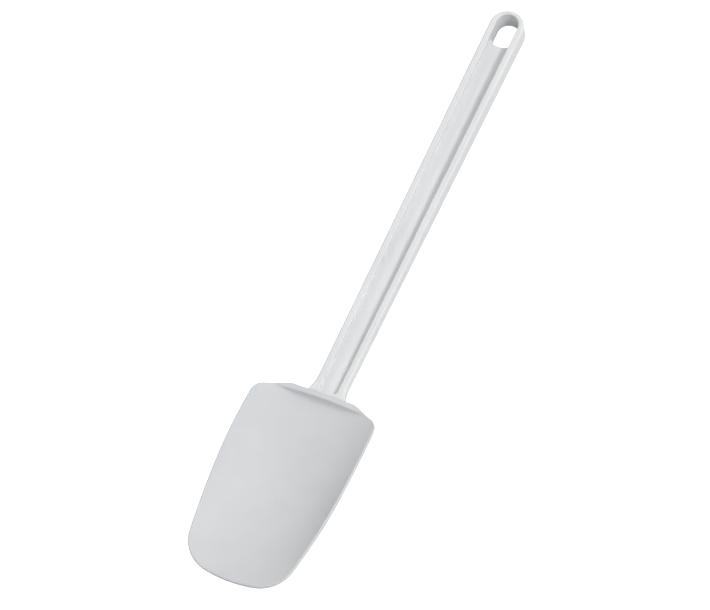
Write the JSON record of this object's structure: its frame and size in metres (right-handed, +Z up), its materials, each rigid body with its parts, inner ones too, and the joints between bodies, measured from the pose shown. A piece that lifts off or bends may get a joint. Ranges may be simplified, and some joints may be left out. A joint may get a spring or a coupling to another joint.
{
  "type": "spoon-shaped bowl spatula",
  "caption": "Long-handled bowl spatula with a hollow, spoon-shaped soft rubber blade that flexes, on a rigid H-section plastic handle with a hanging slot.",
  "frame": {"origin": "centre of the bounding box on the resting plane: on the object's middle line, halfway between the blade's tip and the handle's end, at the height of the handle's flat back", "axes": "+X across the blade, +Y along the handle away from the blade, +Z up out of the bowl, with the spatula lying on its back"},
  "size_m": [0.0686, 0.356, 0.0183],
  "materials": {
    "handle_plastic": "smooth injection-moulded white plastic, semi-gloss",
    "blade_rubber": "soft white rubber, fine matte satin"
  },
  "bodies": {
    "handle_and_sleeve": {"handle": "handle_plastic", "blade_sleeve": "blade_rubber"},
    "lip": {"blade_lip": "blade_rubber"}
  },
  "joints": [
    {"name": "blade_flex", "type": "hinge", "parent": "handle_and_sleeve", "child": "lip", "pos_m": [0, -0.121, 0.0094], "axis": [-1, 0, 0], "range_deg": [-8, 40], "stiffness_Nm_per_rad": 0.3}
  ]
}
